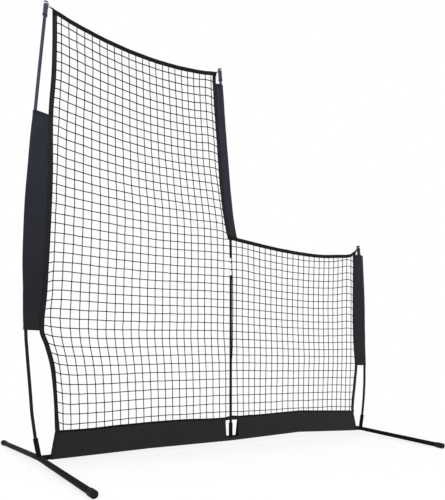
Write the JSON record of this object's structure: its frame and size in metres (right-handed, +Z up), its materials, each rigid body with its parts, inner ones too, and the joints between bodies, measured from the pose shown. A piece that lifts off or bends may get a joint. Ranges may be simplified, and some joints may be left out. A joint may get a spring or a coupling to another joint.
{
  "type": "l-shaped pitching net",
  "caption": "Portable L-shaped pitching net: a square-mesh net with a cut-out, held by bowed poles in a steel base with cross legs and snap-button joints.",
  "frame": {"origin": "on the ground, in the middle of the bounding box", "axes": "+Z up, +X along the crossbar towards the low half, -Y towards the thrower's view of the picture"},
  "size_m": [2.3696, 1.2314, 2.1243],
  "materials": {
    "black_steel": "black powder coat, semi-matt",
    "rubber": "matt black",
    "button_metal": "plated",
    "spring_steel": "plain spring strip",
    "fibreglass": "dark slate, satin",
    "bright_metal": "bright satin",
    "moulding": "dark blue-grey moulding",
    "elastic": "grey elastic cord",
    "twine": "dark knotted twine",
    "webbing": "black woven webbing",
    "sleeve": "blue-black woven fabric",
    "band": "charcoal woven fabric"
  },
  "bodies": {
    "frame_and_net": {"hub_left": "black_steel", "crossbar_outer_left": "black_steel", "crossbar_inner_left": "black_steel", "leg_front_left": "black_steel", "foot_cap_front_left": "rubber", "leg_back_left": "black_steel", "foot_cap_back_left": "rubber", "snap_spring_front_left": "spring_steel", "snap_spring_back_left": "spring_steel", "snap_spring_bar_left": "spring_steel", "hub_right": "black_steel", "crossbar_outer_right": "black_steel", "crossbar_inner_right": "black_steel", "leg_front_right": "black_steel", "foot_cap_front_right": "rubber", "leg_back_right": "black_steel", "foot_cap_back_right": "rubber", "snap_spring_front_right": "spring_steel", "snap_spring_back_right": "spring_steel", "snap_spring_bar_right": "spring_steel", "centre_tee": "black_steel", "ferrule_left": "black_steel", "ferrule_centre": "bright_metal", "pole_left_lower": "fibreglass", "pole_left_upper": "fibreglass", "pole_centre_lower": "fibreglass", "pole_centre_upper": "fibreglass", "pole_right": "fibreglass", "tip_cap_left": "moulding", "tip_loop_left": "elastic", "pole_sleeve_left": "sleeve", "tip_cap_centre": "moulding", "tip_loop_centre": "elastic", "pole_sleeve_centre": "sleeve", "tip_cap_right": "moulding", "tip_loop_right": "elastic", "pole_sleeve_right": "sleeve", "net": "twine", "edge_webbing_top": "webbing", "edge_webbing_left": "webbing", "edge_webbing_notch": "webbing", "edge_webbing_low_top": "webbing", "edge_webbing_right": "webbing", "bottom_band": "band"},
    "button_front_left": {"snap_button_front_left": "button_metal"},
    "button_back_left": {"snap_button_back_left": "button_metal"},
    "button_front_right": {"snap_button_front_right": "button_metal"},
    "button_back_right": {"snap_button_back_right": "button_metal"},
    "button_bar_left": {"snap_button_bar_left": "button_metal"},
    "button_bar_right": {"snap_button_bar_right": "button_metal"}
  },
  "joints": [
    {"name": "press_front_left", "type": "slide", "parent": "frame_and_net", "child": "button_front_left", "axis": [0.0035, -0.0251, 0.9997], "range_m": [0, 0.0043], "stiffness_N_per_m": 1200, "springref_m": -0.004},
    {"name": "press_back_left", "type": "slide", "parent": "frame_and_net", "child": "button_back_left", "axis": [-0.0043, 0.0249, 0.9997], "range_m": [0, 0.0043], "stiffness_N_per_m": 1200, "springref_m": -0.004},
    {"name": "press_front_right", "type": "slide", "parent": "frame_and_net", "child": "button_front_right", "axis": [-0.0035, -0.0251, 0.9997], "range_m": [0, 0.0043], "stiffness_N_per_m": 1200, "springref_m": -0.004},
    {"name": "press_back_right", "type": "slide", "parent": "frame_and_net", "child": "button_back_right", "axis": [0.0043, 0.0249, 0.9997], "range_m": [0, 0.0043], "stiffness_N_per_m": 1200, "springref_m": -0.004},
    {"name": "press_bar_left", "type": "slide", "parent": "frame_and_net", "child": "button_bar_left", "axis": [0, -1, 0], "range_m": [0, 0.0043], "stiffness_N_per_m": 1200, "springref_m": -0.004},
    {"name": "press_bar_right", "type": "slide", "parent": "frame_and_net", "child": "button_bar_right", "axis": [0, -1, 0], "range_m": [0, 0.0043], "stiffness_N_per_m": 1200, "springref_m": -0.004}
  ]
}
